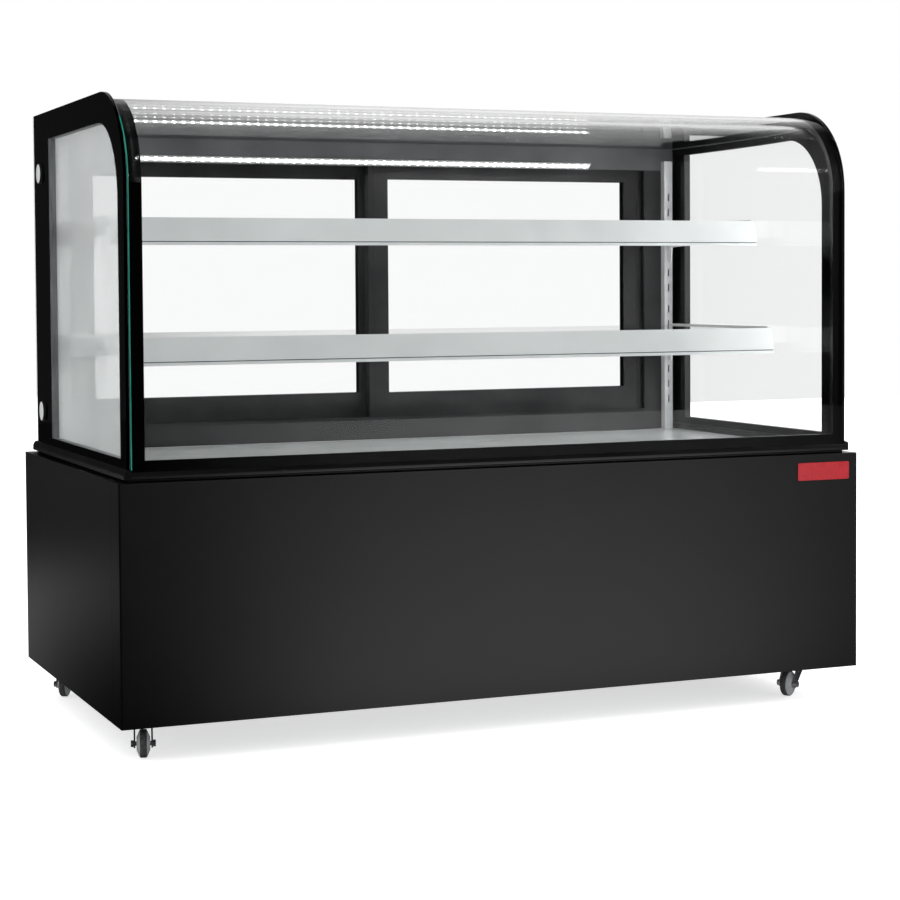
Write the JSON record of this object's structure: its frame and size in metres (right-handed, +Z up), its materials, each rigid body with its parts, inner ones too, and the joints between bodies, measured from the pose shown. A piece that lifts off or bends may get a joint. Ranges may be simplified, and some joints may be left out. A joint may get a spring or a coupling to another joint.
{
  "type": "curved glass refrigerated display case",
  "caption": "Chilled display case on casters: black base, bent glass front and roof, glass ends, lit interior, glass shelves, sliding rear doors.",
  "frame": {"origin": "middle of the footprint, on the floor", "axes": "+X along the case, +Y from the front to the back, +Z up"},
  "size_m": [1.5, 0.8, 1.183],
  "materials": {
    "black_paint": "satin black powder coat",
    "black_trim": "semi-gloss black",
    "frame_black": "black extruded profile",
    "clear_glass": "clear polished glass",
    "shelf_glass": "clear toughened glass",
    "glass_border": "black border and spacer",
    "fixing_cap": "black body with a bright disc",
    "rail_metal": "fine brushed, pale",
    "bracket_paint": "white powder coat",
    "upright_steel": "bright slotted steel",
    "deck_steel": "brushed stainless",
    "lamp_body": "white",
    "lamp_light": "lit row of lights",
    "galvanised": "galvanised sheet",
    "tub_liner": "foam-filled liner",
    "caster_zinc": "bright zinc",
    "caster_tyre": "grey wheel",
    "machine_black": "black enamel",
    "coil_fins": "bare fins",
    "fan_plastic": "moulded",
    "copper": "bare copper pipe",
    "control_plastic": "fine grain",
    "button_plastic": "grey",
    "switch_plastic": "green rocker"
  },
  "bodies": {
    "root": {"base_chassis": "galvanised", "cable_gland": "control_plastic", "caster_plates": "caster_zinc", "compressor": "machine_black", "condenser": "coil_fins", "condenser_fan_motor": "machine_black", "control_panel": "control_plastic", "deck_tray": "deck_steel", "door_header": "frame_black", "door_jambs": "frame_black", "door_sill": "frame_black", "drain_pan": "galvanised", "end_glass_borders": "glass_border", "end_glass_caps": "fixing_cap", "evaporator": "coil_fins", "evaporator_fan_motor": "machine_black", "front_glass_border": "glass_border", "front_glass_inner_pane": "clear_glass", "front_glass_outer_pane": "clear_glass", "front_lip": "black_trim", "front_panel": "black_paint", "insulated_tub": "tub_liner", "lamp_housing": "lamp_body", "lamp_strip": "lamp_light", "left_end_inner_pane": "clear_glass", "left_end_outer_pane": "clear_glass", "left_ledge": "black_trim", "left_side_panel": "black_paint", "lower_shelf_brackets": "bracket_paint", "lower_shelf_glass": "shelf_glass", "lower_shelf_rail": "rail_metal", "rear_panel": "galvanised", "refrigerant_pipes": "copper", "right_end_inner_pane": "clear_glass", "right_end_outer_pane": "clear_glass", "right_ledge": "black_trim", "right_side_panel": "black_paint", "shelf_uprights": "upright_steel", "thermostat": "control_plastic", "upper_shelf_brackets": "bracket_paint", "upper_shelf_glass": "shelf_glass", "upper_shelf_rail": "rail_metal"},
    "left_door": {"left_door_frame": "frame_black", "left_door_glass": "clear_glass"},
    "right_door": {"right_door_frame": "frame_black", "right_door_glass": "clear_glass"},
    "condenser_fan": {"condenser_fan_blade": "fan_plastic"},
    "evaporator_fan": {"evaporator_fan_blade": "fan_plastic"},
    "button_up": {"button_up": "button_plastic"},
    "button_down": {"button_down": "button_plastic"},
    "power_switch": {"power_switch": "switch_plastic"},
    "light_switch": {"light_switch": "switch_plastic"},
    "fork_front_left": {"caster_fork_front_left": "caster_zinc"},
    "wheel_front_left": {"caster_wheel_front_left": "caster_tyre"},
    "fork_front_right": {"caster_fork_front_right": "caster_zinc"},
    "wheel_front_right": {"caster_wheel_front_right": "caster_tyre"},
    "fork_rear_left": {"caster_fork_rear_left": "caster_zinc"},
    "wheel_rear_left": {"caster_wheel_rear_left": "caster_tyre"},
    "fork_rear_right": {"caster_fork_rear_right": "caster_zinc"},
    "wheel_rear_right": {"caster_wheel_rear_right": "caster_tyre"}
  },
  "joints": [
    {"name": "left_door_slide", "type": "slide", "parent": "root", "child": "left_door", "axis": [1, 0, 0], "range_m": [0, 0.65]},
    {"name": "right_door_slide", "type": "slide", "parent": "root", "child": "right_door", "axis": [1, 0, 0], "range_m": [-0.625, 0.026]},
    {"name": "condenser_fan_spin", "type": "hinge", "parent": "root", "child": "condenser_fan", "pos_m": [0.06, 0.292, 0.169], "axis": [0, 1, 0], "continuous": true},
    {"name": "evaporator_fan_spin", "type": "hinge", "parent": "root", "child": "evaporator_fan", "pos_m": [0, 0.095, 0.404], "axis": [0, 1, 0], "continuous": true},
    {"name": "button_up_press", "type": "slide", "parent": "root", "child": "button_up", "axis": [0, -1, 0], "range_m": [0, 0.001], "stiffness_N_per_m": 400, "springref_m": -0.0005},
    {"name": "button_down_press", "type": "slide", "parent": "root", "child": "button_down", "axis": [0, -1, 0], "range_m": [0, 0.001], "stiffness_N_per_m": 400, "springref_m": -0.0005},
    {"name": "power_switch_rock", "type": "hinge", "parent": "root", "child": "power_switch", "pos_m": [0.55, 0.39, 0.419], "axis": [0, 0, 1], "range_deg": [-16, 0]},
    {"name": "light_switch_rock", "type": "hinge", "parent": "root", "child": "light_switch", "pos_m": [0.6, 0.39, 0.419], "axis": [0, 0, 1], "range_deg": [-16, 0]},
    {"name": "swivel_front_left", "type": "hinge", "parent": "root", "child": "fork_front_left", "pos_m": [-0.688, -0.306, 0.055], "axis": [0, 0, 1], "continuous": true},
    {"name": "roll_front_left", "type": "hinge", "parent": "fork_front_left", "child": "wheel_front_left", "pos_m": [-0.69381, -0.32929, 0.025], "axis": [0.9703, -0.2419, 0], "continuous": true},
    {"name": "swivel_front_right", "type": "hinge", "parent": "root", "child": "fork_front_right", "pos_m": [0.66, -0.306, 0.055], "axis": [0, 0, 1], "continuous": true},
    {"name": "roll_front_right", "type": "hinge", "parent": "fork_front_right", "child": "wheel_front_right", "pos_m": [0.63974, -0.31886, 0.025], "axis": [0.5358, -0.8443, 0], "continuous": true},
    {"name": "swivel_rear_left", "type": "hinge", "parent": "root", "child": "fork_rear_left", "pos_m": [-0.688, 0.306, 0.055], "axis": [0, 0, 1], "continuous": true},
    {"name": "roll_rear_left", "type": "hinge", "parent": "fork_rear_left", "child": "wheel_rear_left", "pos_m": [-0.69927, 0.28481, 0.025], "axis": [0.8829, -0.4695, 0], "continuous": true},
    {"name": "swivel_rear_right", "type": "hinge", "parent": "root", "child": "fork_rear_right", "pos_m": [0.66, 0.306, 0.055], "axis": [0, 0, 1], "continuous": true},
    {"name": "roll_rear_right", "type": "hinge", "parent": "fork_rear_right", "child": "wheel_rear_right", "pos_m": [0.6401, 0.29258, 0.025], "axis": [0.5592, -0.829, 0], "continuous": true}
  ]
}
